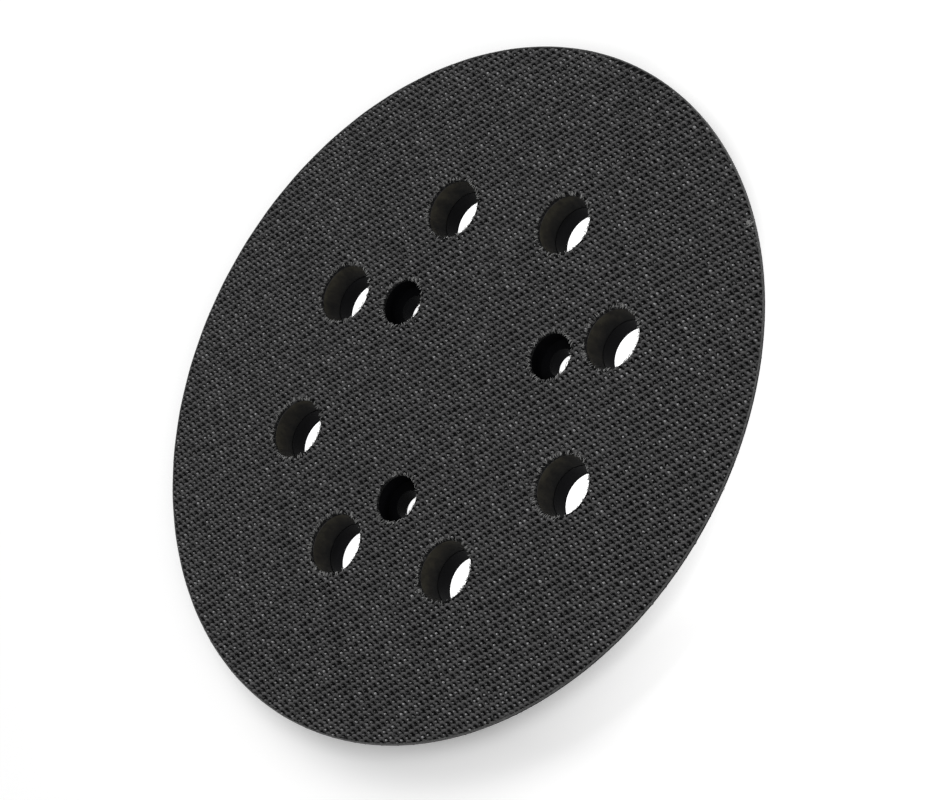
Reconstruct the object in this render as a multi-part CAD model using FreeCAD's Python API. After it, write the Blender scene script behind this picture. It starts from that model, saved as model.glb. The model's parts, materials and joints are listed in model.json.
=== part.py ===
import FreeCAD, Part
import math
import os

"""Backing pad of a random orbit sander, 125 mm class, hook face up.

Row frame: the rims of the mounting side stand on z = 0. +Z is the spindle axis and leaves the hook face.
+X runs through the one dust hole and the one screw well that lie on the same radius. All sizes are in mm.
"""

# Overall
FACE_R = 61.5            # radius of the hook face
PAD_H = 8.4              # mounting rims to the tips of the hooks
FABRIC_T = 0.9           # hook cloth, ground weave and hooks
FILM_T = 0.15            # hot-melt film between cloth and foam

# Dust holes
DUST_N = 8
DUST_RING_R = 32.9       # radius of the circle of dust holes
DUST_R = 5.35            # hole through cloth, film and foam
DUST_PORT_R = 4.9        # hole through the plate
DUST_PORT_WALL = 1.7     # collar round each port on the mounting side

# Screw wells
SCREW_N = 3
SCREW_RING_R = 20.8      # radius of the circle of screws
WELL_R = 4.2             # well for the screw's head
CUP_R = 5.6              # outside of the moulded cup round the well
SCREW_R = 2.45           # clearance hole for an M4 screw

# Foam
FOAM_TOP_R = 60.6        # under the film
FOAM_LOW_R = 54.2        # lower edge of the tapered rim
FOAM_LOW_Z = 1.2
FOAM_EDGE_FILLET = 0.9

# Backing plate
PLATE_R = 52.0
WEB_LOW_Z = 1.5          # underside of the web between the ribs
WEB_TOP_Z = 3.3          # where the foam starts
HUB_R = 26.9             # thicker middle of the plate
HUB_TOP_Z = 4.8          # screw heads sit at this height
REGISTER_R = 26.5        # recess that takes the sander's flange
SEAT_Z = 2.0             # floor of that recess
RIM_WALL = 2.6
REGISTER_WALL = 2.2
RIB_N = 16
RIB_T = 1.6
RIB_LOW_Z = 0.25         # the ribs stay just above the rims
SPINDLE_POCKET_R = 8.5   # clears the end of the sander's spindle
SPINDLE_POCKET_TOP_Z = 3.6
EDGE_BREAK = 0.4         # chamfer on the plate's outer edges

Z_AXIS = FreeCAD.Vector(0, 0, 1)


def cylinder(radius, low, high, x=0.0, y=0.0):
    """Upright cylinder between two heights."""
    return Part.makeCylinder(radius, high - low, FreeCAD.Vector(x, y, low))


def on_circle(radius, count):
    """Centres of count holes spread evenly on a circle, the first one on +X."""
    turns = [2 * math.pi * i / count for i in range(count)]
    return [(radius * math.cos(a), radius * math.sin(a)) for a in turns]


def row_of_cylinders(centres, radius, low, high):
    """The same cylinder at each centre."""
    return [cylinder(radius, low, high, x, y) for x, y in centres]


def revolved(points):
    """Solid of revolution about Z of a closed outline given as radius and height."""
    corners = [FreeCAD.Vector(r, 0, z) for r, z in points]
    outline = Part.makePolygon(corners + corners[:1])
    return Part.Face(outline).revolve(FreeCAD.Vector(0, 0, 0), Z_AXIS, 360)


def circular_edges(shape, radius, height):
    """Circular edges of a shape that are centred on Z, with a given radius and height."""
    found = []
    for edge in shape.Edges:
        curve = edge.Curve
        if not isinstance(curve, Part.Circle):
            continue
        centred = math.hypot(curve.Center.x, curve.Center.y) < 1e-4
        if centred and abs(curve.Radius - radius) < 1e-4 and abs(curve.Center.z - height) < 1e-4:
            found.append(edge)
    return found


DUST_CENTRES = on_circle(DUST_RING_R, DUST_N)
SCREW_CENTRES = on_circle(SCREW_RING_R, SCREW_N)
FABRIC_LOW_Z = PAD_H - FABRIC_T
FILM_LOW_Z = FABRIC_LOW_Z - FILM_T


def make_hook_fabric():
    """Disc of hook cloth with its dust and screw holes."""
    disc = cylinder(FACE_R, FABRIC_LOW_Z, PAD_H)
    holes = row_of_cylinders(DUST_CENTRES, DUST_R, FABRIC_LOW_Z, PAD_H)
    holes += row_of_cylinders(SCREW_CENTRES, WELL_R, FABRIC_LOW_Z, PAD_H)
    return disc.cut(holes)


def make_adhesive_film():
    """Bond layer, cut back round the screw cups, whose rims touch the cloth."""
    disc = cylinder(FOAM_TOP_R, FILM_LOW_Z, FABRIC_LOW_Z)
    holes = row_of_cylinders(DUST_CENTRES, DUST_R, FILM_LOW_Z, FABRIC_LOW_Z)
    holes += row_of_cylinders(SCREW_CENTRES, CUP_R, FILM_LOW_Z, FABRIC_LOW_Z)
    return disc.cut(holes)


def make_foam_body():
    """Foam moulded over the plate: it wraps the plate's edge and tapers outwards to the cloth."""
    body = revolved([
        (0, HUB_TOP_Z), (HUB_R, HUB_TOP_Z), (HUB_R, WEB_TOP_Z),
        (PLATE_R, WEB_TOP_Z), (PLATE_R, FOAM_LOW_Z),
        (FOAM_LOW_R, FOAM_LOW_Z), (FOAM_TOP_R, FILM_LOW_Z), (0, FILM_LOW_Z),
    ])
    body = body.makeFillet(FOAM_EDGE_FILLET, circular_edges(body, FOAM_LOW_R, FOAM_LOW_Z))
    holes = row_of_cylinders(DUST_CENTRES, DUST_R, WEB_TOP_Z, FILM_LOW_Z)
    holes += row_of_cylinders(SCREW_CENTRES, CUP_R, HUB_TOP_Z, FILM_LOW_Z)
    return body.cut(holes)


def make_plate_blank():
    """Plate without its ports: web, hub, outer rim and the wall round the flange's recess."""
    blank = revolved([
        (0, SEAT_Z), (REGISTER_R, SEAT_Z), (REGISTER_R, 0), (REGISTER_R + REGISTER_WALL, 0),
        (REGISTER_R + REGISTER_WALL, WEB_LOW_Z), (PLATE_R - RIM_WALL, WEB_LOW_Z),
        (PLATE_R - RIM_WALL, 0), (PLATE_R, 0), (PLATE_R, WEB_TOP_Z),
        (HUB_R, WEB_TOP_Z), (HUB_R, HUB_TOP_Z), (0, HUB_TOP_Z),
    ])
    edges = circular_edges(blank, PLATE_R, 0) + circular_edges(blank, REGISTER_R, 0)
    return blank.makeChamfer(EDGE_BREAK, edges)


def make_ribs():
    """Radial ribs from the recess's wall to the outer rim."""
    inner = REGISTER_R + REGISTER_WALL / 2
    outer = PLATE_R - RIM_WALL / 2
    corner = FreeCAD.Vector(inner, -RIB_T / 2, RIB_LOW_Z)
    ribs = []
    for i in range(RIB_N):
        rib = Part.makeBox(outer - inner, RIB_T, WEB_TOP_Z - RIB_LOW_Z, corner)
        rib.rotate(FreeCAD.Vector(0, 0, 0), Z_AXIS, 360 * i / RIB_N)
        ribs.append(rib)
    return ribs


def make_backing_plate():
    """Moulded plate with ribs, dust ports with collars, and a cup for each screw."""
    collars = row_of_cylinders(DUST_CENTRES, DUST_PORT_R + DUST_PORT_WALL, 0, WEB_TOP_Z)
    cups = row_of_cylinders(SCREW_CENTRES, CUP_R, SEAT_Z, FABRIC_LOW_Z)
    flange_space = cylinder(REGISTER_R, 0, SEAT_Z)
    added = [piece.cut(flange_space) for piece in collars] + cups + make_ribs()
    plate = make_plate_blank().fuse(added)
    holes = row_of_cylinders(DUST_CENTRES, DUST_PORT_R, 0, WEB_TOP_Z)
    holes += row_of_cylinders(SCREW_CENTRES, WELL_R, HUB_TOP_Z, FABRIC_LOW_Z)
    holes += row_of_cylinders(SCREW_CENTRES, SCREW_R, SEAT_Z, HUB_TOP_Z)
    holes.append(cylinder(SPINDLE_POCKET_R, SEAT_Z, SPINDLE_POCKET_TOP_Z))
    return plate.cut(holes).removeSplitter()


PIECES = {
    "hook_fabric": make_hook_fabric,
    "adhesive_film": make_adhesive_film,
    "foam_body": make_foam_body,
    "backing_plate": make_backing_plate,
}

os.makedirs("parts", exist_ok=True)
for node, make in PIECES.items():
    shape = make()
    shape.exportStep("parts/" + node + ".step")
    box = shape.BoundBox
    print(node, "valid", shape.isValid(), "solids", len(shape.Solids))
    print("    volume", round(shape.Volume, 1), "z", round(box.ZMin, 3), round(box.ZMax, 3))
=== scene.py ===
"""Looks of a random orbit sander's backing pad that lies on its mounting side with its hook face up.

The hook face is a black nylon cloth in a twill: flat warp yarns rise over each weft yarn, and where they dive
between two of them, a stiff monofilament loop stands up in the gap. Below it come a hot-melt film, a moulded
polyurethane foam and a ribbed plate of glass-filled nylon.
"""

import json
import logging
import math
from collections.abc import Callable, Iterable, Iterator, Sequence
from dataclasses import dataclass, field
from enum import Enum
from functools import partial

import bmesh
import bpy
import numpy as np
from mathutils import Matrix, Vector

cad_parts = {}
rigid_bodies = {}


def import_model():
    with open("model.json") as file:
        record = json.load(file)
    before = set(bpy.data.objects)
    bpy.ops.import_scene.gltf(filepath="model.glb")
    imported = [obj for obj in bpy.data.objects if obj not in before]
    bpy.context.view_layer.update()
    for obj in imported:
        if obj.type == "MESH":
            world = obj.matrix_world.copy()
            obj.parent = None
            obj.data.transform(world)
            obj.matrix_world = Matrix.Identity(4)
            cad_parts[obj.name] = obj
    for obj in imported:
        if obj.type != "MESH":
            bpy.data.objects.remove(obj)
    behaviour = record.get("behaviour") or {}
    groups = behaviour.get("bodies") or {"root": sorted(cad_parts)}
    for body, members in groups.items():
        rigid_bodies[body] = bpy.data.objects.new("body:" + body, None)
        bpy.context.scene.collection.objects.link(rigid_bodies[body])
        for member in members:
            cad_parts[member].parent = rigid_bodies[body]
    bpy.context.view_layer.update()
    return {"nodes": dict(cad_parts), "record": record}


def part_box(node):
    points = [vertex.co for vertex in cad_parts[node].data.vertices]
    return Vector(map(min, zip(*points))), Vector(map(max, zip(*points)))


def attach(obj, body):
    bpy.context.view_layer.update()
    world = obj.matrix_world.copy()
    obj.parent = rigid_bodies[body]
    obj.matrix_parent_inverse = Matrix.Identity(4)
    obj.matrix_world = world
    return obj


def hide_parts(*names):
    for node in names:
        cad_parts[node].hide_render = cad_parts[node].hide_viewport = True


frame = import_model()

BODY = "root"
MM = 0.001
SEED = 20
NYLON_IOR = 1.53
MERGE = 0.001 * MM  # doubles nearer than this are merged
WELL_RADIUS = 4.2 * MM  # screw wells; the record gives only the screw holes at their bottoms
WEB_TOP_Z = 3.3 * MM  # where the foam starts on the plate

log = logging.getLogger("backing_pad")

Pair = tuple[float, float]
Triple = tuple[float, float, float]
Colour = tuple[float, float, float, float]
Run = tuple[np.ndarray, np.ndarray]  # points of a yarn, and the scale of its cross-section at each


class HoleKind(Enum):
    """What a hole in the hook face is for."""

    DUST = "dust"
    SCREW = "screw"


@dataclass(frozen=True)
class Hole:
    """A round hole through the hook face, in metres."""

    x: float
    y: float
    radius: float
    kind: HoleKind


@dataclass(frozen=True)
class PadLayout:
    """Where the pad's layers and holes lie, in metres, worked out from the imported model."""

    face_radius: float
    face_z: float
    cloth_low_z: float
    foam_top_z: float
    foam_low_z: float
    foam_top_radius: float
    plate_radius: float
    plate_top_z: float
    holes: tuple[Hole, ...]

    @classmethod
    def from_frame(cls) -> "PadLayout":
        """Read the sizes of the CAD nodes and the hole circles of the record.

        Returns:
            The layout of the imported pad.
        """
        cloth_low, cloth_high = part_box("hook_fabric")
        foam_low, foam_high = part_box("foam_body")
        plate_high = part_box("backing_plate")[1]
        mounts = {mount["name"]: mount["dims"] for mount in frame["record"]["mounts"]}
        dust, screws = mounts["dust_passages"], mounts["screws"]
        holes = [
            *ring_of_holes(dust["pcd_mm"] * MM / 2, dust["count"], dust["hole_r_mm"] * MM, HoleKind.DUST),
            *ring_of_holes(screws["pcd_mm"] * MM / 2, screws["count"], WELL_RADIUS, HoleKind.SCREW),
        ]
        return cls(
            face_radius=cloth_high.x, face_z=cloth_high.z, cloth_low_z=cloth_low.z, foam_top_z=foam_high.z,
            foam_low_z=foam_low.z, foam_top_radius=foam_high.x, plate_radius=plate_high.x,
            plate_top_z=WEB_TOP_Z, holes=tuple(holes),
        )

    def of_kind(self, kind: HoleKind) -> list[Hole]:
        """Holes of one kind."""
        return [hole for hole in self.holes if hole.kind is kind]


def ring_of_holes(ring_radius: float, count: int, radius: float, kind: HoleKind) -> Iterator[Hole]:
    """Holes spread evenly on a circle, the first one on +X.

    Args:
        ring_radius: radius of the circle of holes.
        count: number of holes.
        radius: radius of each hole.
        kind: what the holes are for.

    Returns:
        The holes, in turn.
    """
    for i in range(count):
        turn = 2 * math.pi * i / count
        yield Hole(ring_radius * math.cos(turn), ring_radius * math.sin(turn), radius, kind)


# Materials ---------------------------------------------------------------------------


def linear(code: str) -> Colour:
    """Turn an sRGB hex colour into linear light.

    Args:
        code: six hex digits.

    Returns:
        Linear red, green, blue and an alpha of 1.
    """
    parts = [int(code[i:i + 2], 16) / 255 for i in (0, 2, 4)]
    red, green, blue = (c / 12.92 if c <= 0.04045 else ((c + 0.055) / 1.055) ** 2.4 for c in parts)
    return red, green, blue, 1.0


def per_metre(size_mm: float) -> float:
    """Repeats per metre of a pattern whose size is given in millimetres."""
    return 1 / (size_mm * MM)


def add_node(material: bpy.types.Material, kind: str, inputs: dict | None = None,
             stops: Iterable[tuple[float, Colour]] = (), **settings: object) -> bpy.types.Node:
    """Add a shader node with its settings, values and links.

    Args:
        material: the material that gets the node.
        kind: the node's type, without the ShaderNode prefix.
        inputs: for each input's name or number, a value, the output socket that feeds it, or a node whose
            first output does.
        stops: place and colour of each stop of a colour ramp, in order.
        **settings: properties of the node itself.

    Returns:
        The new node.
    """
    tree = material.node_tree
    node = tree.nodes.new("ShaderNode" + kind)
    for name, value in settings.items():
        setattr(node, name, value)
    for key, value in (inputs or {}).items():
        source = value.outputs[0] if isinstance(value, bpy.types.Node) else value
        if isinstance(source, bpy.types.NodeSocket):
            tree.links.new(source, node.inputs[key])
        else:
            node.inputs[key].default_value = source
    wanted = list(stops)
    while wanted and len(node.color_ramp.elements) < len(wanted):
        node.color_ramp.elements.new(0.5)
    for i, (place, colour) in enumerate(wanted):
        element = node.color_ramp.elements[i]
        element.position, element.color = place, colour
    return node


def new_material(name: str) -> tuple[bpy.types.Material, Callable[..., bpy.types.Node], bpy.types.NodeSocket]:
    """Make a node material.

    Args:
        name: its name.

    Returns:
        The material, add_node for that material, and its Object coordinates.
    """
    material = bpy.data.materials.new(name)
    material.use_nodes = True
    material.node_tree.nodes.clear()
    add = partial(add_node, material)
    return material, add, add("TexCoord").outputs["Object"]


@dataclass(frozen=True)
class WovenNylonFloats:
    """Black nylon multifilament, woven: dull, with a soft grey sheen on each crown.

    Its tone varies from yarn to yarn, and it is painted darker low in the weave, as shade between the yarns.
    """

    dark: str = "151516"
    light: str = "434243"
    spread: Pair = (0.395, 0.955)  # tones at which the dark and the light colour are reached
    roughness: float = 0.58
    sheen: float = 0.1
    relief: Pair = (0.7, 0.08 * MM)  # strength and depth of its bumps
    filament_mm: float = 0.17  # real filaments are about 0.02 mm, too fine to show, so they are coarser here
    filament_stretch: float = 3.0
    streak_mm: Pair = (111.1, 2.632)  # length and width of faint streaks
    streak_turn: float = math.radians(-34.6)  # from the warp, so that they cross the weft at right angles
    streak_share: float = 0.45  # how far streaks, whole yarns and filaments move the tone
    yarn_share: float = 0.225
    filament_share: float = 0.75
    painted_shade_depths: Pair = (0.46 * MM, 0.12 * MM)  # depths between which the yarns are painted darker, as shade low in the weave
    # painted shade: share of the colour left at the deepest point
    painted_shade_tone: float = 0.12

    def build(self, warp_angle: float, lattice: tuple[Vector, Vector], face_z: float) -> bpy.types.Material:
        """Make the material.

        Args:
            warp_angle: direction of the floats from +X, in radians.
            lattice: the weave's wave vectors, which count the crowns along a warp and the warps across.
            face_z: height of the tops of the yarns.

        Returns:
            The finished material.
        """
        material, add, place = new_material("woven_nylon_floats")
        counts = [add("VectorMath", {0: place, 1: wave}, operation="DOT_PRODUCT") for wave in lattice]
        crowns = [add("Math", {0: count.outputs["Value"]}, operation="ROUND") for count in counts]
        crown = add("CombineXYZ", dict(enumerate(crowns)))
        chance = add("TexWhiteNoise", {"Vector": crown}, noise_dimensions="2D").outputs["Value"]
        long, wide = (size * MM for size in self.streak_mm)
        turned = add("Mapping", {"Vector": place, "Rotation": (0.0, 0.0, warp_angle + self.streak_turn),
                                 "Scale": (long, wide, long)}, vector_type="TEXTURE")
        streaks = add("TexNoise", {"Vector": turned, "Scale": 1.0, "Detail": 3.0})
        fine = self.filament_mm * MM
        turned = add("Mapping", {"Vector": place, "Rotation": (0.0, 0.0, warp_angle),
                                 "Scale": (fine * self.filament_stretch, fine, fine)}, vector_type="TEXTURE")
        filaments = add("TexNoise", {"Vector": turned, "Scale": 1.0, "Detail": 2.0})
        tone = add("Math", {0: streaks, 1: self.streak_share}, operation="MULTIPLY")
        tone = add("Math", {0: chance, 1: self.yarn_share, 2: tone}, operation="MULTIPLY_ADD")
        tone = add("Math", {0: filaments, 1: self.filament_share, 2: tone}, operation="MULTIPLY_ADD")
        colour = add("ValToRGB", {"Fac": tone}, zip(self.spread, (linear(self.dark), linear(self.light))))
        height = add("SeparateXYZ", {0: place}).outputs["Z"]
        # painted shade: the colour is scaled down with depth below the face
        painted_depth_shade = add("MapRange", {"Value": height, "From Min": face_z - self.painted_shade_depths[0],
                                 "From Max": face_z - self.painted_shade_depths[1], "To Min": self.painted_shade_tone})
        toned = add("VectorMath", {0: colour, "Scale": painted_depth_shade}, operation="SCALE")
        bump = add("Bump", {"Height": filaments, "Strength": self.relief[0], "Distance": self.relief[1]})
        shader = add("BsdfPrincipled", {"Base Color": toned, "Roughness": self.roughness, "IOR": NYLON_IOR,
                                        "Sheen Weight": self.sheen, "Normal": bump})
        add("OutputMaterial", {"Surface": shader})
        return material


@dataclass(frozen=True)
class DrawnMonofilament:
    """Black nylon monofilament, melt-drawn and heat-set: smooth, so each loop carries a small glint. On some
    loops a glint is also painted into the colour as light grey.
    """

    dark: str = "2a2a2b"
    # painted highlight: this light grey stands in for glints on the brightest loops
    light: str = "a0a0a1"
    spread: Pair = (0.42, 0.66)
    spot_mm: float = 1.1111  # about the spacing of the loops, so that the tone, with its painted glints, varies from loop to loop
    roughness: Pair = (0.32, 0.47)

    def build(self) -> bpy.types.Material:
        """Make the material.

        Returns:
            The finished material.
        """
        material, add, place = new_material("drawn_monofilament")
        painted_glint_spots = add("TexNoise", {"Vector": place, "Scale": per_metre(self.spot_mm), "Detail": 2.0})
        # painted highlight: the light end of the ramp paints glints on some loops
        colour = add("ValToRGB", {"Fac": painted_glint_spots}, zip(self.spread, (linear(self.dark), linear(self.light))))
        rough = add("MapRange", {"Value": painted_glint_spots, "To Min": self.roughness[0], "To Max": self.roughness[1]})
        shader = add("BsdfPrincipled", {"Base Color": colour, "Roughness": rough, "IOR": NYLON_IOR})
        add("OutputMaterial", {"Surface": shader})
        return material


@dataclass(frozen=True)
class CutNylonEnds:
    """Nylon filaments cut by the punch: frayed, crushed ends that scatter light and look grey."""

    dark: str = "3c3c3b"
    light: str = "929291"
    spread: Pair = (0.3, 0.75)
    clump_mm: float = 0.6667
    roughness: float = 0.7
    sheen: float = 0.3

    def build(self) -> bpy.types.Material:
        """Make the material.

        Returns:
            The finished material.
        """
        material, add, place = new_material("cut_nylon_ends")
        clumps = add("TexNoise", {"Vector": place, "Scale": per_metre(self.clump_mm), "Detail": 2.0})
        colour = add("ValToRGB", {"Fac": clumps}, zip(self.spread, (linear(self.dark), linear(self.light))))
        shader = add("BsdfPrincipled", {"Base Color": colour, "Roughness": self.roughness, "IOR": NYLON_IOR,
                                        "Sheen Weight": self.sheen})
        add("OutputMaterial", {"Surface": shader})
        return material


@dataclass(frozen=True)
class GroundWeave:
    """Black woven ground of the cloth: dull, and painted nearly black, darker than the yarns, as shade in the
    gaps.
    """

    # black nylon, painted far darker than the yarns as shade in the gaps
    dark: str = "060607"
    light: str = "101011"
    thread_mm: float = 0.3
    roughness: float = 0.75
    gloss: float = 0.15
    relief: Pair = (0.6, 0.08 * MM)  # strength and depth of its bumps

    def build(self, warp_angle: float) -> bpy.types.Material:
        """Make the material.

        Args:
            warp_angle: direction of the warp from +X, in radians.

        Returns:
            The finished material.
        """
        material, add, place = new_material("ground_weave")
        turned = add("Mapping", {"Vector": place, "Rotation": (0.0, 0.0, warp_angle),
                                 "Scale": [self.thread_mm * MM] * 3}, vector_type="TEXTURE")
        checks = add("TexChecker", {"Vector": turned, "Scale": 1.0,
                                    "Color1": linear(self.dark), "Color2": linear(self.light)})
        threads = add("TexNoise", {"Vector": turned, "Scale": 1.0, "Detail": 3.0})
        bump = add("Bump", {"Height": threads, "Strength": self.relief[0], "Distance": self.relief[1]})
        shader = add("BsdfPrincipled", {"Base Color": checks, "Roughness": self.roughness,
                                        "Specular IOR Level": self.gloss, "Normal": bump})
        add("OutputMaterial", {"Surface": shader})
        return material


@dataclass(frozen=True)
class MicrocellularFoam:
    """Moulded microcellular polyurethane: an olive-grey matt face of closed pores, painted darker towards the
    plate as shade low down.
    """

    # painted shade: near black, reached where the foam is painted darker low down
    painted_deep_shade: str = "090909"
    dark: str = "1e1c18"
    light: str = "3b382d"
    spread: Triple = (0.1, 0.36, 0.7)
    painted_shade_z: Pair = (3.6 * MM, 7.2 * MM)  # heights between which the painted shade lifts off the foam
    painted_shade_offset: Pair = (-0.42, 0.02)  # and what they add to its tone; the drop at the low end is painted shade
    cloud_mm: Triple = (2.381, 2.381, 3.846)
    pore_mm: float = 0.22  # the real pores are about 0.1 mm, so they are drawn coarser to show
    roughness: float = 0.85
    gloss: float = 0.2
    relief: Pair = (0.35, 0.05 * MM)  # strength and depth of its bumps

    def build(self) -> bpy.types.Material:
        """Make the material.

        Returns:
            The finished material.
        """
        material, add, place = new_material("microcellular_foam")
        pores = add("TexVoronoi", {"Vector": place, "Scale": per_metre(self.pore_mm)})
        sized = add("Mapping", {"Vector": place, "Scale": [per_metre(size) for size in self.cloud_mm]})
        clouds = add("TexNoise", {"Vector": sized, "Scale": 1.0, "Detail": 5.0, "Roughness": 0.7})
        height = add("SeparateXYZ", {0: place}).outputs["Z"]
        # painted shade: the tone is lowered towards the plate, deep in the passages
        painted_low_shade = add("MapRange", {"Value": height, "From Min": self.painted_shade_z[0], "From Max": self.painted_shade_z[1],
                                 "To Min": self.painted_shade_offset[0], "To Max": self.painted_shade_offset[1]})
        tone = add("Math", {0: clouds, 1: painted_low_shade}, operation="ADD")
        colours = (linear(self.painted_deep_shade), linear(self.dark), linear(self.light))
        colour = add("ValToRGB", {"Fac": tone}, zip(self.spread, colours))
        bump = add("Bump", {"Height": pores, "Strength": self.relief[0], "Distance": self.relief[1]})
        shader = add("BsdfPrincipled", {"Base Color": colour, "Roughness": self.roughness,
                                        "Specular IOR Level": self.gloss, "Normal": bump})
        add("OutputMaterial", {"Surface": shader})
        return material


@dataclass(frozen=True)
class MouldedGlassNylon:
    """Glass-filled nylon 6, injection moulded: black, satin, faintly mottled where fibres reach the surface."""

    dark: str = "060607"
    light: str = "0e0e10"
    spread: Pair = (0.35, 0.7)
    grain_mm: float = 0.35  # the real fibres are about 0.01 mm thick, so the grain is drawn coarser to show
    flow_mm: Triple = (11.11, 11.11, 5.0)
    roughness: Pair = (0.49, 0.67)
    gloss: float = 0.02  # far under nylon's 0.5, or the table's painted glow would shine in the walls of the ports
    relief: Pair = (0.25, 0.03 * MM)  # strength and depth of its bumps

    def build(self) -> bpy.types.Material:
        """Make the material.

        Returns:
            The finished material.
        """
        material, add, place = new_material("moulded_glass_nylon")
        grain = add("TexNoise", {"Vector": place, "Scale": per_metre(self.grain_mm), "Detail": 4.0})
        sized = add("Mapping", {"Vector": place, "Scale": [per_metre(size) for size in self.flow_mm]})
        flow = add("TexNoise", {"Vector": sized, "Scale": 1.0, "Detail": 3.0, "Distortion": 1.2})
        colour = add("ValToRGB", {"Fac": flow}, zip(self.spread, (linear(self.dark), linear(self.light))))
        rough = add("MapRange", {"Value": flow, "To Min": self.roughness[0], "To Max": self.roughness[1]})
        bump = add("Bump", {"Height": grain, "Strength": self.relief[0], "Distance": self.relief[1]})
        shader = add("BsdfPrincipled", {"Base Color": colour, "Roughness": rough,
                                        "Specular IOR Level": self.gloss, "Normal": bump})
        add("OutputMaterial", {"Surface": shader})
        return material


@dataclass(frozen=True)
class HotMeltFilm:
    """Polyamide hot-melt adhesive, pressed: a dark film with slightly glossy, rippled cut edges."""

    dark: str = "0c0c0b"
    light: str = "191917"
    spread: Pair = (0.35, 0.7)
    ripple_mm: float = 1.4286
    roughness: float = 0.35
    ior: float = 1.5
    relief: Pair = (0.4, 0.05 * MM)  # strength and depth of its bumps

    def build(self) -> bpy.types.Material:
        """Make the material.

        Returns:
            The finished material.
        """
        material, add, place = new_material("hot_melt_film")
        ripples = add("TexNoise", {"Vector": place, "Scale": per_metre(self.ripple_mm), "Detail": 3.0})
        colour = add("ValToRGB", {"Fac": ripples}, zip(self.spread, (linear(self.dark), linear(self.light))))
        bump = add("Bump", {"Height": ripples, "Strength": self.relief[0], "Distance": self.relief[1]})
        shader = add("BsdfPrincipled", {"Base Color": colour, "Roughness": self.roughness, "IOR": self.ior,
                                        "Normal": bump})
        add("OutputMaterial", {"Surface": shader})
        return material


# Mesh helpers ------------------------------------------------------------------------


def new_piece(name: str, mesh: bpy.types.Mesh, material: bpy.types.Material, slot: str) -> bpy.types.Object:
    """Put a mesh in the scene as a piece of the pad.

    Args:
        name: the piece's name.
        mesh: its mesh, in place.
        material: its finish.
        slot: the record's material slot that the finish belongs to; not used.

    Returns:
        The new object, riding on the pad's body.
    """
    mesh.name = name
    mesh.materials.clear()
    mesh.materials.append(material)
    mesh.shade_smooth()
    piece = bpy.data.objects.new(name, mesh)
    bpy.context.scene.collection.objects.link(piece)
    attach(piece, BODY)
    mesh.calc_loop_triangles()
    log.info("%s: %d triangles", name, len(mesh.loop_triangles))
    return piece


def evaluated(thing: bpy.types.Object, helper: bpy.types.Object) -> bpy.types.Mesh:
    """Mesh of an object with what a helper object does to it. Both objects are used up.

    Args:
        thing: the object, in no scene yet.
        helper: its bevel shape or its cutter.

    Returns:
        The mesh.
    """
    for used in (thing, helper):
        bpy.context.scene.collection.objects.link(used)
    bpy.context.view_layer.update()
    mesh = bpy.data.meshes.new_from_object(thing.evaluated_get(bpy.context.evaluated_depsgraph_get()))
    bpy.data.batch_remove([thing, helper, thing.data, helper.data])
    return mesh


def swept(runs: Sequence[Run], half_width: float, half_height: float, sides: int) -> bpy.types.Mesh:
    """Sweep a flat oval along many lines and close every end.

    Args:
        runs: the lines, in metres.
        half_width: half of the oval's width.
        half_height: half of its height.
        sides: number of sides of the oval.

    Returns:
        One mesh with all the yarns.
    """
    oval = bpy.data.curves.new("oval", "CURVE")
    oval.dimensions = "2D"
    edge = oval.splines.new("POLY")
    edge.points.add(sides - 1)
    for i, point in enumerate(edge.points):
        turn = 2 * math.pi * (i + 0.5) / sides
        point.co = (half_width * math.cos(turn), half_height * math.sin(turn), 0.0, 1.0)
    edge.use_cyclic_u = True
    oval_object = bpy.data.objects.new("oval", oval)

    path = bpy.data.curves.new("path", "CURVE")
    path.dimensions, path.twist_mode = "3D", "Z_UP"
    path.bevel_mode, path.bevel_object, path.use_fill_caps = "OBJECT", oval_object, True
    for points, scale in runs:
        spline = path.splines.new("POLY")
        spline.points.add(len(points) - 1)
        spline.points.foreach_set("co", np.column_stack([points, np.ones(len(points))]).ravel())
        spline.points.foreach_set("radius", scale)
    return closed_outwards(evaluated(bpy.data.objects.new("path", path), oval_object))


def closed_outwards(mesh: bpy.types.Mesh) -> bpy.types.Mesh:
    """Merge a mesh's doubles and point its faces outwards.

    Args:
        mesh: the mesh, which is changed.

    Returns:
        The same mesh.
    """
    bm = bmesh.new()
    bm.from_mesh(mesh)
    bmesh.ops.remove_doubles(bm, verts=bm.verts, dist=MERGE)
    bmesh.ops.dissolve_degenerate(bm, edges=bm.edges, dist=MERGE)
    bmesh.ops.recalc_face_normals(bm, faces=bm.faces)
    bm.to_mesh(mesh)
    bm.free()
    return mesh


def points_of(mesh: bpy.types.Mesh) -> np.ndarray:
    """Read a mesh's vertex positions.

    Args:
        mesh: the mesh.

    Returns:
        The positions, one row each.
    """
    flat = np.empty(len(mesh.vertices) * 3, np.float32)
    mesh.vertices.foreach_get("co", flat)
    return flat.reshape(-1, 3).astype(float)


def set_points(mesh: bpy.types.Mesh, points: np.ndarray) -> None:
    """Write vertex positions back to a mesh.

    Args:
        mesh: the mesh, which is changed.
        points: its new positions, one row each.
    """
    mesh.vertices.foreach_set("co", points.astype(np.float32).ravel())
    mesh.update()


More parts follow.
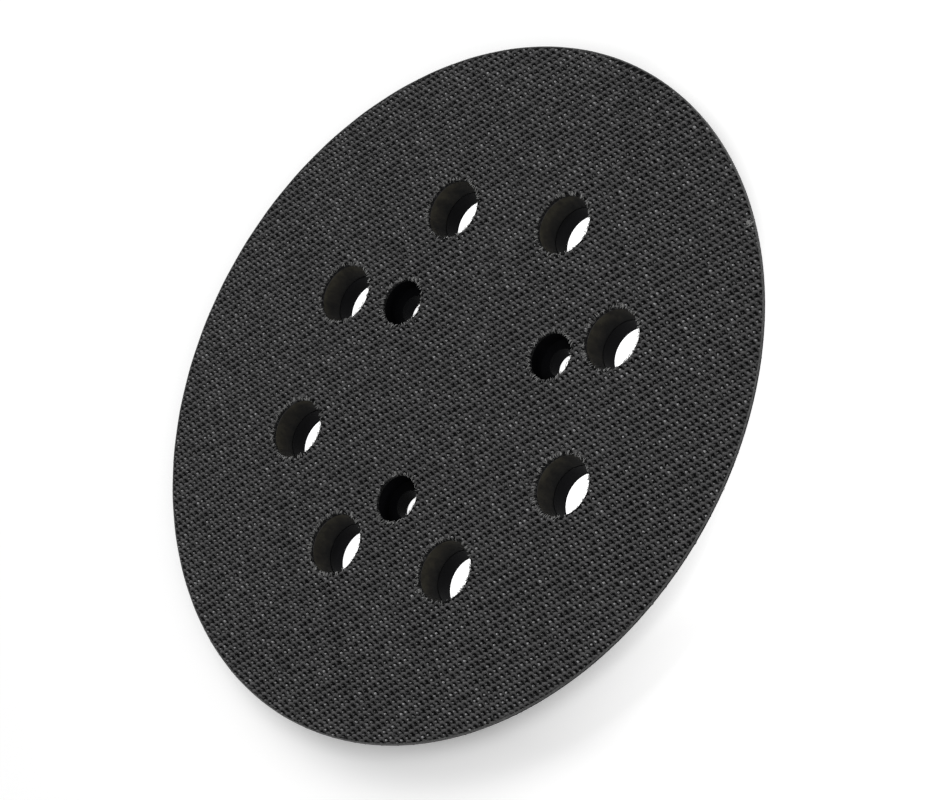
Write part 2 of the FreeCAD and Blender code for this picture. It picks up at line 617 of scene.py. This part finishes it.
def trimmed_to(layout: PadLayout, points: np.ndarray, overhang: float, crush: float,
               crush_reach: float) -> np.ndarray:
    """Press points that stand past a cut edge back onto it, and crush the cloth beside it.

    Args:
        layout: the pad's layout.
        points: vertex positions of a yarn mesh.
        overhang: how far the cloth stands into the holes.
        crush: how far the cloth is pressed down at the edge.
        crush_reach: how far from the edge that fades.

    Returns:
        The positions, none of them outside the face or inside a hole.
    """
    out = points.copy()
    reach = np.hypot(out[:, 0], out[:, 1])
    out[:, :2] *= np.minimum(1.0, layout.face_radius / np.maximum(reach, MM))[:, None]
    inside = layout.face_radius - reach
    for hole in layout.holes:
        away = out[:, :2] - (hole.x, hole.y)
        gap = np.hypot(away[:, 0], away[:, 1])
        radius = hole.radius - overhang
        push = np.maximum(1.0, radius / np.maximum(gap, 0.01 * MM))
        out[:, :2] = (hole.x, hole.y) + away * push[:, None]
        inside = np.minimum(inside, gap - radius)
    out[:, 2] -= crush * np.exp(-(np.maximum(inside, 0.0) / crush_reach) ** 2)
    return out


def yarn_stations(low: float, high: float, start: float, step: float, clear: float) -> np.ndarray:
    """Places along a yarn: its ends, and even steps between them.

    Args:
        low: its near end.
        high: its far end.
        start: a place that the steps fall on.
        step: distance from one place to the next.
        clear: share of a step that stays free at each end.

    Returns:
        The places, in order.
    """
    inner = np.arange(math.ceil((low - start) / step + clear), (high - start) / step - clear) * step + start
    return np.concatenate([[low], inner, [high]])


# Hook cloth --------------------------------------------------------------------------


@dataclass
class HookCloth:
    """Woven nylon hook cloth: a ground, weft, warp floats, monofilament loops and frayed fibres."""

    layout: PadLayout
    warp_angle: float = math.radians(-39.2)  # direction of the floats
    warp_pitch: float = 0.823 * MM  # between neighbouring floats
    repeat: float = 1.759 * MM  # from crown to crown
    repeat_shift: float = 0.567 * MM  # from one warp to the next
    slow_sway: Triple = (0.10 * MM, 9.1 * MM, 7.3 * MM)  # size, length along and across
    quick_sway: Triple = (0.05 * MM, 3.7 * MM, 5.3 * MM)
    bands: int = 5  # the yarns are shared out over this many pieces

    float_half_size: Pair = (0.29 * MM, 0.17 * MM)  # half of its width and of its height
    crown_clearance: float = 0.04 * MM  # most crowns stay this far under the face
    crown_half_length: float = 0.30 * MM
    shoulder_drop: float = 0.12 * MM  # from the crown to the flanks of a float
    shoulder_taper: float = 0.10  # share of its width that a float loses there
    dive: float = 0.25 * MM  # further drop between two weft yarns
    dive_half_length: float = 0.34 * MM
    waist: float = 0.42  # further share of its width lost there
    tilt: float = 0.13 * MM  # sideways swing that turns each crown towards the twill line
    tilt_reach: float = 0.26 * MM
    bend: float = 0.22 * MM  # sideways bend that takes a yarn round the foot of a loop
    points_per_repeat: int = 8  # along a float
    lift: float = 0.012 * MM  # spread of the height of whole floats
    float_spread: Triple = (0.042 * MM, 0.035 * MM, 0.05)  # of height, side and width

    weft_half_size: Pair = (0.20 * MM, 0.13 * MM)
    weft_depth: float = 0.40 * MM  # middle of the weft below the face
    weft_crimp: float = 0.04 * MM  # it rises and sinks by this between two warps
    weft_spread: Pair = (0.02 * MM, 0.06)  # of height and width

    loop_radius: float = 0.14 * MM
    loop_half_span: float = 0.09 * MM
    loop_place: Pair = (0.93 * MM, 0.17 * MM)  # from a crown, along and across the warp
    loop_spread: Pair = (0.055 * MM, 0.045 * MM)  # of that place
    loop_lean: float = 0.06 * MM
    loop_sink: float = 0.036 * MM  # spread of how far they end below the face
    loop_foot: float = 0.05 * MM  # how deep they stand in the ground
    loop_stoutness: Triple = (0.15, 0.7, 1.3)  # spread, least and most

    ground_rise: float = 0.2 * MM
    ground_inset: float = 0.02 * MM
    ground_chamfer: Pair = (0.2 * MM, 0.12 * MM)  # of its lower edge
    lip_width: float = 0.5 * MM
    lip_break: float = 0.1 * MM
    overhang: float = 0.1 * MM  # cloth that stands past the foam's edge into a hole
    crush: float = 0.2 * MM  # how far the punch pressed the cloth down at a cut edge
    crush_reach: float = 0.45 * MM
    lip_rise: float = 0.55 * MM  # sealed lip of the ground along a cut edge, above its back
    lip_half_size: Pair = (0.13 * MM, 0.14 * MM)
    rim_half_size: Pair = (0.12 * MM, 0.17 * MM)  # sealed rim of the cloth
    rim_inset: float = 0.01 * MM
    rim_depth: float = 0.38 * MM  # its middle below the face
    sealed_ripple: float = 0.02 * MM

    fibre_half_size: Pair = (0.06 * MM, 0.05 * MM)
    fibre_lean: float = 0.25 * MM
    fray_per_mm: float = 3.8
    fray_root: Pair = (0.1 * MM, 0.8 * MM)  # how far behind the cut a fibre starts
    fray_tip: Pair = (-0.1 * MM, 0.2 * MM)  # and how far past it that it ends
    fray_depth: float = 0.07 * MM
    fray_droop: float = 0.35 * MM
    fray_stoutness: Pair = (0.6, 1.1)
    tuft_place: Pair = (60.8 * MM, 12.4)  # radius, and degrees from +X, of a worn tuft
    tuft_fibres: int = 26
    tuft_spread: float = 0.28 * MM
    tuft_depth: float = 0.06 * MM
    tuft_droop: float = 0.12 * MM

    rng: np.random.Generator = field(default_factory=lambda: np.random.default_rng(SEED))

    @property
    def along(self) -> np.ndarray:
        """Unit vector of the warp."""
        return np.array([math.cos(self.warp_angle), math.sin(self.warp_angle)])

    @property
    def across(self) -> np.ndarray:
        """Unit vector from one warp to the next."""
        return np.array([-math.sin(self.warp_angle), math.cos(self.warp_angle)])

    @property
    def ground_z(self) -> float:
        """Top of the ground weave."""
        return self.layout.cloth_low_z + self.ground_rise

    def build(self) -> list[bpy.types.Object]:
        """Returns:
            The ground and everything on it.
        """
        woven = WovenNylonFloats().build(self.warp_angle, self.waves(), self.layout.face_z)
        monofilament = DrawnMonofilament().build()
        piece = partial(new_piece, slot="hook_fabric")
        ground = piece("ground_cloth", self.ground_mesh(), GroundWeave().build(self.warp_angle))
        on_it = [piece("weft_yarns", self.weft_mesh(), woven)]
        for band in range(self.bands):
            rows = self.rows_of(band)
            on_it.append(piece(f"warp_floats_{band + 1}", self.float_mesh(rows), woven))
            on_it.append(piece(f"hook_loops_{band + 1}", self.loop_mesh(rows), monofilament))
        # the lips share the ground's finish, with its painted shade
        on_it.append(piece("sealed_lips", self.lip_mesh(), ground.active_material))
        rim_finish = CutNylonEnds(dark="171717", light="444444").build()
        on_it.append(piece("sealed_rim", self.rim_mesh(), rim_finish))
        on_it.append(piece("frayed_ends", self.fray_mesh(), CutNylonEnds().build()))
        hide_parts("hook_fabric")
        return [ground, *on_it]

    def waves(self) -> tuple[Vector, Vector]:
        """Work out the weave's wave vectors.

        Returns:
            One vector that counts the crowns along a warp, and one that counts the warps.
        """
        along, across = Vector((*self.along, 0.0)), Vector((*self.across, 0.0))
        rows = across / self.warp_pitch
        return along / self.repeat - rows * (self.repeat_shift / self.repeat), rows

    def rows_of(self, band: int) -> list[int]:
        """Pick the warps of one band of the face, the bands being equal in area.

        Args:
            band: the band's number, from 0.

        Returns:
            The warps' numbers.
        """
        last = int(self.layout.face_radius / self.warp_pitch)
        rows = list(range(-last, last + 1))
        lengths = np.array([self.half_chord(row * self.warp_pitch) for row in rows])
        share = np.cumsum(lengths) / lengths.sum()
        return [row for row, part in zip(rows, share) if band < part * self.bands + 1e-9 <= band + 1]

    def half_chord(self, offset: float) -> float:
        """Half of the face's chord at a distance from its middle."""
        return math.sqrt(max(self.layout.face_radius ** 2 - offset ** 2, 0.0))

    def spans(self, offset: float, along: np.ndarray, across: np.ndarray) -> list[Pair]:
        """Stretches of a yarn that are cloth: its chord of the face less the holes.

        Args:
            offset: how far from the middle of the face the yarn runs.
            along: unit vector of the yarn.
            across: unit vector from the middle of the face to the yarn.

        Returns:
            Start and end of each stretch, measured along the yarn.
        """
        half = self.half_chord(offset)
        found = [(-half, half)]
        for hole in self.layout.holes:
            place = np.array([hole.x, hole.y])
            middle, side = place @ along, place @ across - offset
            radius = hole.radius - self.overhang
            if abs(side) >= radius:
                continue
            cut = math.sqrt(radius ** 2 - side ** 2)
            found = [piece for low, high in found for piece in ((low, min(high, middle - cut)),
                                                                (max(low, middle + cut), high))
                     if piece[1] - piece[0] > self.loop_radius]
        return found

    def sway(self, s: np.ndarray, offset: np.ndarray | float) -> np.ndarray:
        """Slow sideways wander of the weave, a fraction of a yarn.

        Args:
            s: places along the warp.
            offset: places across it.

        Returns:
            Sideways shift at each place.
        """
        size, along, across = self.slow_sway
        slow = size * np.sin(s / along + 1.3) * np.sin(offset / across)
        size, along, across = self.quick_sway
        return slow + size * np.sin(s / along + offset / across + 0.4)

    def crown_and_dive(self, s: np.ndarray, row: int) -> tuple[np.ndarray, np.ndarray]:
        """How near a float is to its crown and to its dive between two weft yarns.

        Args:
            s: places along the warp.
            row: the warp's number.

        Returns:
            For each place a share from 0 to 1 of the crown, and one of the dive.
        """
        turns = (s - row * self.repeat_shift) / self.repeat
        from_crown = np.abs(turns - np.round(turns)) * self.repeat
        from_dive = self.repeat / 2 - from_crown
        crown = np.exp(-(from_crown / self.crown_half_length) ** 2)
        return crown, np.exp(-(from_dive / self.dive_half_length) ** 2)

    def swing(self, s: np.ndarray, row: int) -> np.ndarray:
        """Sideways shift that turns each crown towards the twill line and takes the yarn round each loop.

        Args:
            s: places along the warp.
            row: the warp's number.

        Returns:
            Shift at each place.
        """
        turns = (s - row * self.repeat_shift) / self.repeat
        share = (turns - np.round(turns)) * self.repeat / self.tilt_reach
        turned = self.tilt * share * np.exp(0.5 - 0.5 * share ** 2)
        return turned - self.bend * self.crown_and_dive(s, row)[1]

    def in_plane(self, s: np.ndarray, offset: np.ndarray | float) -> np.ndarray:
        """Positions on the face from places along and across the warp."""
        return np.outer(s, self.along) + np.outer(offset + self.sway(s, offset), self.across)

    def punched(self, mesh: bpy.types.Mesh) -> bpy.types.Mesh:
        """Trim yarns to the cloth's cut edges.

        Args:
            mesh: the yarns, which are changed.

        Returns:
            The same mesh.
        """
        set_points(mesh, trimmed_to(self.layout, points_of(mesh), self.overhang, self.crush, self.crush_reach))
        return mesh

    def float_mesh(self, rows: Sequence[int]) -> bpy.types.Mesh:
        """Warp floats of some rows as one mesh.

        Args:
            rows: numbers of the warps.

        Returns:
            Their closed yarns.
        """
        runs = []
        step = self.repeat / self.points_per_repeat
        for row in rows:
            start = row * self.repeat_shift
            lift = self.rng.normal(0, self.lift)
            for low, high in self.spans(row * self.warp_pitch, self.along, self.across):
                s = yarn_stations(low, high, start, step, clear=0.3)
                crown, dive = self.crown_and_dive(s, row)
                wobble = self.rng.normal(0, self.float_spread[0], len(s))
                highest = self.layout.face_z - self.float_half_size[1]
                z = highest - self.crown_clearance + lift + wobble
                z = np.minimum(z - self.shoulder_drop * (1 - crown) - self.dive * dive, highest)
                side = row * self.warp_pitch + self.swing(s, row)
                side += self.rng.normal(0, self.float_spread[1], len(s))
                width = 1.0 - self.shoulder_taper * (1 - crown) - self.waist * dive
                width += self.rng.normal(0, self.float_spread[2], len(s))
                runs.append((np.column_stack([self.in_plane(s, side), z]), width))
        return self.punched(swept(runs, *self.float_half_size, sides=6))

    def weft_mesh(self) -> bpy.types.Mesh:
        """Weft yarns, one under each line of crowns.

        Returns:
            Their closed yarns as one mesh.
        """
        twill = self.repeat_shift * self.along + self.warp_pitch * self.across
        crown_step = float(np.hypot(*twill))
        twill = twill / crown_step
        normal = np.array([-twill[1], twill[0]])
        spacing = float(self.repeat * (self.along @ normal))
        last = int(self.layout.face_radius / abs(spacing))
        runs = []
        for pick in range(-last, last + 1):
            phase = pick * self.repeat * float(self.along @ twill)
            for low, high in self.spans(pick * spacing, twill, normal):
                t = yarn_stations(low, high, phase, crown_step / 2, clear=0.2)
                crimp = -np.cos(2 * math.pi * (t - phase) / crown_step)
                z = self.layout.face_z - self.weft_depth + self.weft_crimp * crimp
                place = np.outer(t, twill) + pick * spacing * normal
                place += np.outer(self.sway(place @ self.along, place @ self.across), self.across)
                z += self.rng.normal(0, self.weft_spread[0], len(t))
                width = 1.0 + self.rng.normal(0, self.weft_spread[1], len(t))
                runs.append((np.column_stack([place, z]), width))
        return self.punched(swept(runs, *self.weft_half_size, sides=5))

    def rim_mesh(self) -> bpy.types.Mesh:
        """Sealed rim of the cloth, where the weft and warp yarns end.

        Returns:
            A closed ring.
        """
        turns = np.linspace(0, 2 * math.pi, 361)
        reach = self.layout.face_radius - self.rim_half_size[0] - self.rim_inset
        z = self.layout.face_z - self.rim_depth + self.sealed_ripple * np.sin(47 * turns)
        ring = np.column_stack([reach * np.cos(turns), reach * np.sin(turns), z])
        return swept([(ring, np.ones(len(turns)))], *self.rim_half_size, sides=8)

    def loop_mesh(self, rows: Sequence[int]) -> bpy.types.Mesh:
        """Monofilament loops that stand up where the floats of some rows dive.

        Args:
            rows: numbers of the warps.

        Returns:
            Their closed loops.
        """
        runs = []
        spread, least, most = self.loop_stoutness
        arch = np.array([-1.0, -0.62, 0.0, 0.62, 1.0])
        rise = np.array([0.0, 0.72, 1.0, 0.72, 0.0])
        foot_z = self.ground_z - self.loop_foot
        for row in rows:
            half = self.half_chord(row * self.warp_pitch)
            start = row * self.repeat_shift + self.loop_place[0]
            first = math.ceil((-half - start) / self.repeat)
            for i in range(first, math.floor((half - start) / self.repeat) + 1):
                s = start + i * self.repeat + self.rng.normal(0, self.loop_spread[0])
                side = row * self.warp_pitch + self.loop_place[1] + self.rng.normal(0, self.loop_spread[1])
                if not self.is_cloth(self.in_plane(np.array([s]), side)[0]):
                    continue
                lean = self.rng.normal(0, self.loop_lean)
                stout = min(max(self.rng.normal(1.0, spread), least), most)
                sunk = abs(self.rng.normal(0, self.loop_sink))
                top_z = self.layout.face_z - stout * self.loop_radius - sunk
                place = self.in_plane(s + lean * rise, side + arch * self.loop_half_span)
                z = foot_z + (top_z - foot_z) * rise
                runs.append((np.column_stack([place, z]), np.full(len(arch), stout)))
        return self.punched(swept(runs, self.loop_radius, self.loop_radius, sides=6))

    def is_cloth(self, place: np.ndarray) -> bool:
        """Tell where there is cloth with room for a whole loop.

        Args:
            place: a position on the face.

        Returns:
            True if a loop fits there.
        """
        margin = self.loop_radius
        if np.hypot(*place) > self.layout.face_radius - margin:
            return False
        return all(math.hypot(place[0] - hole.x, place[1] - hole.y) > hole.radius + margin
                   for hole in self.layout.holes)

    def ground_mesh(self) -> bpy.types.Mesh:
        """Flat ground of the cloth with its holes punched.

        Returns:
            Its closed mesh.
        """
        layout = self.layout
        edge = layout.face_radius - self.ground_inset
        lip_z = layout.cloth_low_z + self.lip_rise
        disc = turned_solid([
            (0, layout.cloth_low_z), (edge - self.ground_chamfer[0], layout.cloth_low_z),
            (edge, layout.cloth_low_z + self.ground_chamfer[1]), (edge, lip_z - self.lip_break),
            (edge - self.lip_break, lip_z), (edge - self.lip_width, self.ground_z), (0, self.ground_z),
        ], steps=240)
        cutters = [(hole, hole.radius - self.overhang, 60) for hole in layout.holes]
        return punched_mesh(disc, cutters, layout.cloth_low_z - MM, layout.face_z + MM, rings=1)

    def lip_mesh(self) -> bpy.types.Mesh:
        """Heat-sealed lips of the ground round the punched holes.

        Returns:
            Their closed rings as one mesh.
        """
        top = self.layout.cloth_low_z + self.lip_rise
        runs = []
        for hole in self.layout.holes:
            turns = np.linspace(0, 2 * math.pi, 61)
            reach = hole.radius - self.overhang + self.lip_half_size[1]
            reach = reach + self.sealed_ripple * np.sin(5 * turns + hole.x / MM)
            z = top - self.lip_half_size[1] + 1.5 * self.sealed_ripple * np.sin(9 * turns + hole.y / MM)
            runs.append((np.column_stack([hole.x + reach * np.cos(turns), hole.y + reach * np.sin(turns), z]),
                         np.ones(len(turns))))
        return swept(runs, *self.lip_half_size, sides=6)

    def fray_mesh(self) -> bpy.types.Mesh:
        """Short cut fibres round every punched hole, and a worn tuft at the rim.

        Returns:
            Their closed fibres as one mesh.
        """
        runs = []
        turn = math.radians(self.tuft_place[1])
        middle = self.tuft_place[0] * np.array([math.cos(turn), math.sin(turn)])
        for _ in range(self.tuft_fibres):
            start = middle + self.rng.normal(0, self.tuft_spread, 2)
            lean = self.rng.normal(0, self.fibre_lean, 2)
            place = start + np.outer(np.linspace(-1, 1, 4), lean)
            droop = self.rng.uniform(0.0, self.tuft_droop) * np.array([1.0, 0.0, 0.0, 1.0])
            z = self.layout.face_z - self.tuft_depth - droop
            runs.append((np.column_stack([place, z]), np.array([0.6, 1.0, 1.0, 0.6])))
        for hole in self.layout.holes:
            count = int(2 * math.pi * hole.radius / MM * self.fray_per_mm)
            for turn in self.rng.uniform(0, 2 * math.pi, count):
                outward = np.array([math.cos(turn), math.sin(turn)])
                sideways = np.array([-outward[1], outward[0]]) * self.rng.normal(0, self.fibre_lean)
                root = self.rng.uniform(*self.fray_root)
                tip = self.rng.uniform(*self.fray_tip)
                t = np.linspace(0, 1, 4)
                reach = hole.radius - self.overhang + root - t * (root + tip)
                place = (hole.x, hole.y) + np.outer(reach, outward) + np.outer(t, sideways)
                z = self.layout.face_z - self.fray_depth - self.rng.uniform(0.0, self.fray_droop) * t ** 2
                stout = self.rng.uniform(*self.fray_stoutness)
                runs.append((np.column_stack([place, z]), stout * np.array([0.7, 1.0, 1.0, 0.6])))
        return swept(runs, *self.fibre_half_size, sides=4)


def turned_solid(outline: Sequence[Pair], steps: int) -> bmesh.types.BMesh:
    """Spin an outline about Z into a closed solid.

    Args:
        outline: radius and height of each corner, from the axis at the bottom round to the axis at the top.
        steps: number of steps of the spin.

    Returns:
        The solid.
    """
    bm = bmesh.new()
    verts = [bm.verts.new((radius, 0.0, height)) for radius, height in outline]
    edges = [bm.edges.new(pair) for pair in zip(verts, verts[1:])]
    bmesh.ops.spin(bm, geom=verts + edges, cent=(0, 0, 0), axis=(0, 0, 1), angle=2 * math.pi, steps=steps,
                   use_merge=True)
    bmesh.ops.remove_doubles(bm, verts=bm.verts, dist=MERGE)
    bmesh.ops.recalc_face_normals(bm, faces=bm.faces)
    return bm


def punched_mesh(body: bmesh.types.BMesh, cutters: Sequence[tuple[Hole, float, int]], low: float, high: float,
                 rings: int) -> bpy.types.Mesh:
    """Cut round holes through a solid.

    Args:
        body: the solid, which is freed.
        cutters: for each hole its place, radius and number of sides.
        low: lower end of the cutting punches.
        high: upper end.
        rings: number of rings of faces that the cut wall gets over that height.

    Returns:
        The mesh with its holes.
    """
    target = bpy.data.meshes.new("blank")
    body.to_mesh(target)
    body.free()
    bm = bmesh.new()
    for hole, radius, sides in cutters:
        at = Matrix.Translation((hole.x, hole.y, low))
        start = bmesh.ops.create_circle(bm, cap_ends=True, segments=sides, radius=radius, matrix=at)["verts"]
        loop = list({edge for vert in start for edge in vert.link_edges})
        for _ in range(rings):
            grown = bmesh.ops.extrude_edge_only(bm, edges=loop)["geom"]
            moved = [part for part in grown if isinstance(part, bmesh.types.BMVert)]
            loop = [part for part in grown if isinstance(part, bmesh.types.BMEdge)
                    and all(vert in moved for vert in part.verts)]
            bmesh.ops.translate(bm, verts=moved, vec=(0, 0, (high - low) / rings))
        bmesh.ops.contextual_create(bm, geom=loop)
    bmesh.ops.recalc_face_normals(bm, faces=bm.faces)
    punches = bpy.data.meshes.new("punches")
    bm.to_mesh(punches)
    bm.free()
    blank_object = bpy.data.objects.new("blank", target)
    punch_object = bpy.data.objects.new("punches", punches)
    cut = blank_object.modifiers.new("cut", "BOOLEAN")
    cut.operation, cut.solver, cut.object = "DIFFERENCE", "EXACT", punch_object
    return evaluated(blank_object, punch_object)


# Foam, film and plate ----------------------------------------------------------------


@dataclass
class FoamCore:
    """Foam moulded over the plate, with a tapered rim and eight dust passages."""

    layout: PadLayout
    hub_radius: float = 26.9 * MM
    hub_top_z: float = 4.8 * MM
    low_radius: float = 54.2 * MM
    cup_radius: float = 5.6 * MM
    edge_round: float = 0.9 * MM
    top_inset: Pair = (0.1 * MM, 0.3 * MM)  # the foam's upper edge stands back by this
    wall_draw: float = 0.37 * MM  # how far a passage narrows towards the plate
    wall_waves: Pair = (0.04 * MM, 0.03 * MM)  # slow and quick unevenness of its wall

    def build(self) -> bpy.types.Object:
        """Returns:
            The foam.
        """
        layout = self.layout
        outline = [
            (0, self.hub_top_z), (self.hub_radius, self.hub_top_z), (self.hub_radius, layout.plate_top_z),
            (layout.plate_radius, layout.plate_top_z), (layout.plate_radius, layout.foam_low_z),
            *self.rounded_edge(),
            (layout.foam_top_radius - self.top_inset[0], layout.foam_top_z - self.top_inset[1]),
            (layout.foam_top_radius - self.top_inset[0], layout.foam_top_z), (0, layout.foam_top_z),
        ]
        cutters = [(hole, hole.radius, 72) for hole in layout.of_kind(HoleKind.DUST)]
        cutters += [(hole, self.cup_radius, 48) for hole in layout.of_kind(HoleKind.SCREW)]
        mesh = punched_mesh(turned_solid(outline, steps=256), cutters, layout.foam_low_z - MM, layout.face_z,
                            rings=24)
        self.narrow_passages(mesh)
        foam = new_piece("foam_core", mesh, MicrocellularFoam().build(), "foam_body")
        mesh.set_sharp_from_angle(angle=math.radians(40))
        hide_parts("foam_body")
        return foam

    def rounded_edge(self) -> list[Pair]:
        """Round the lower edge of the rim.

        Returns:
            Radius and height of its points, from the underside to the taper.
        """
        taper = math.atan2(self.layout.foam_top_z - self.layout.foam_low_z,
                           self.layout.foam_top_radius - self.low_radius)
        back = self.edge_round * math.tan(taper / 2)
        centre = (self.low_radius - back, self.layout.foam_low_z + self.edge_round)
        turns = [taper * i / 6 for i in range(7)]
        return [(centre[0] + self.edge_round * math.sin(t), centre[1] - self.edge_round * math.cos(t))
                for t in turns]

    def narrow_passages(self, mesh: bpy.types.Mesh) -> None:
        """Narrow the dust passages a little towards the plate, with a slight unevenness.

        Args:
            mesh: the foam's mesh, which is changed.
        """
        layout = self.layout
        points = points_of(mesh)
        for number, hole in enumerate(layout.of_kind(HoleKind.DUST)):
            away = points[:, :2] - (hole.x, hole.y)
            gap = np.hypot(away[:, 0], away[:, 1])
            on_wall = np.abs(gap - hole.radius) < 0.01 * MM
            height = (points[:, 2] - layout.plate_top_z) / (layout.foam_top_z - layout.plate_top_z)
            turn = np.arctan2(away[:, 1], away[:, 0])
            uneven = self.wall_waves[0] * np.sin(3 * turn + number) * np.sin(math.pi * height)
            uneven += self.wall_waves[1] * np.sin(11 * turn + 7 * height + 2 * number)
            low = 1.0 - np.clip(height, 0.0, 1.0)
            shift = np.where(on_wall, self.wall_draw * low ** 1.5 + uneven * np.sin(math.pi * low), 0.0)
            points[:, :2] += away / np.maximum(gap, 0.01 * MM)[:, None] * -shift[:, None]
        set_points(mesh, points)


def dress_cad_nodes() -> None:
    """Give the plate and the bond film, whose CAD shapes stay, their finishes."""
    finishes = {"backing_plate": MouldedGlassNylon().build(), "adhesive_film": HotMeltFilm().build()}
    for node, material in finishes.items():
        piece = frame["nodes"][node]
        piece.data.materials.clear()
        piece.data.materials.append(material)
        log.info("%s: kept from CAD", node)


# Studio ------------------------------------------------------------------------------


def direction(azimuth: float, elevation: float) -> Vector:
    """Unit vector from the pad towards a lamp or the camera.

    Args:
        azimuth: angle round the pad in degrees, 0 being -Y and 90 being +X.
        elevation: angle above the table in degrees.

    Returns:
        The unit vector.
    """
    a, e = math.radians(azimuth), math.radians(elevation)
    return Vector((math.sin(a) * math.cos(e), -math.cos(a) * math.cos(e), math.sin(e)))


@dataclass(frozen=True)
class Lamp:
    """A square softbox that faces the pad."""

    name: str
    azimuth: float
    elevation: float
    distance: float
    size: float
    watts: float


@dataclass(frozen=True)
class PaintedGlowPatch:
    """A round patch of light painted into the table top's emission, standing in for a lamp below it."""

    centre: Pair
    stops: tuple[Pair, ...]  # distances from there, and how bright the top is at each


@dataclass
class Studio:
    """White table with painted glow, softboxes and camera."""

    layout: PadLayout
    azimuth: float = 54.49
    elevation: float = 46.87
    roll: float = -61.33
    distance: float = 500.45 * MM
    lens: float = 116.55
    aim: Pair = (4.30 * MM, -3.89 * MM)
    painted_glow_patches: tuple[PaintedGlowPatch, ...] = (
        PaintedGlowPatch((0.0, 0.0), ((46 * MM, 1.0), (52 * MM, 0.1), (190 * MM, 0.1))),
        PaintedGlowPatch((30 * MM, -5 * MM), ((28 * MM, 0.8), (45 * MM, 0.35), (60 * MM, 0.15), (80 * MM, 0.1))),
    )
    table_half_width: float = 3.0
    glow_reach: float = 200 * MM  # the colour ramps of the painted glow patches span this
    surround: float = 0.38
    lamps: tuple[Lamp, ...] = (
        Lamp("key_softbox", 211.0, 42.0, 0.9, 0.7, 4.2),
        Lamp("front_fill", 55.0, 52.0, 0.45, 0.25, 0.85),
    )

    def build(self) -> None:
        """Make the table, the lights and the camera."""
        self.build_table()
        self.build_lamps()
        self.build_camera()

    def build_table(self) -> None:
        """White matt table top, with a pool of light painted into its emission where the pad lies."""
        material, add, place = new_material("table_with_painted_glow")
        glows = []
        for glow_or_lamp in self.painted_glow_patches:
            away = add("VectorMath", {0: place, 1: (*glow_or_lamp.centre, 0.0)}, operation="DISTANCE").outputs["Value"]
            share = add("Math", {0: away, 1: 1 / self.glow_reach}, operation="MULTIPLY")
            stops = [(reach / self.glow_reach, (level, level, level, 1.0)) for reach, level in glow_or_lamp.stops]
            glows.append(add("ValToRGB", {"Fac": share}, stops))
        glow = add("Math", dict(enumerate(glows)), operation="MAXIMUM")
        # painted light: emission that glows round and under the pad, though no lamp is there
        shader = add("BsdfPrincipled", {"Base Color": linear("ffffff"), "Roughness": 0.9,
                                        "Emission Color": linear("ffffff"), "Emission Strength": glow})
        add("OutputMaterial", {"Surface": shader})
        bm = bmesh.new()
        bmesh.ops.create_grid(bm, x_segments=1, y_segments=1, size=self.table_half_width)
        mesh = bpy.data.meshes.new("table")
        bm.to_mesh(mesh)
        bm.free()
        mesh.materials.append(material)
        table = bpy.data.objects.new("table", mesh)
        bpy.context.scene.collection.objects.link(table)

    def build_lamps(self) -> None:
        """Softboxes and an even white surround."""
        for glow_or_lamp in self.lamps:
            light = bpy.data.lights.new(glow_or_lamp.name, "AREA")
            light.energy, light.size = glow_or_lamp.watts, glow_or_lamp.size
            box = bpy.data.objects.new(glow_or_lamp.name, light)
            toward = direction(glow_or_lamp.azimuth, glow_or_lamp.elevation)
            box.location = toward * glow_or_lamp.distance
            box.rotation_mode = "QUATERNION"
            box.rotation_quaternion = toward.to_track_quat("Z", "Y")
            bpy.context.scene.collection.objects.link(box)
        world = bpy.data.worlds.new("surround")
        world.use_nodes = True
        even = world.node_tree.nodes["Background"].inputs
        even["Color"].default_value, even["Strength"].default_value = linear("ffffff"), self.surround
        bpy.context.scene.world = world
        bpy.context.scene.view_settings.view_transform = "Standard"

    def build_camera(self) -> None:
        """Camera looking down on the hook face, rolled about its own axis."""
        data = bpy.data.cameras.new("camera")
        data.lens, data.sensor_width = self.lens, 36.0
        data.clip_start, data.clip_end = 0.01, 20.0
        camera = bpy.data.objects.new("camera", data)
        toward = direction(self.azimuth, self.elevation)
        camera.location = Vector((*self.aim, self.layout.face_z)) + toward * self.distance
        camera.rotation_mode = "QUATERNION"
        level = toward.to_track_quat("Z", "Y")
        roll = Matrix.Rotation(math.radians(self.roll), 4, "Z").to_quaternion()
        camera.rotation_quaternion = level @ roll
        bpy.context.scene.collection.objects.link(camera)
        bpy.context.scene.camera = camera


def main() -> None:
    logging.basicConfig(level=logging.INFO, format="%(name)s %(message)s")
    layout = PadLayout.from_frame()
    Studio(layout).build()
    for piece in HookCloth(layout).build():
        log.info("cloth piece %s rides on %s", piece.name, BODY)
    FoamCore(layout).build()
    dress_cad_nodes()


if __name__ == "__main__":
    main()
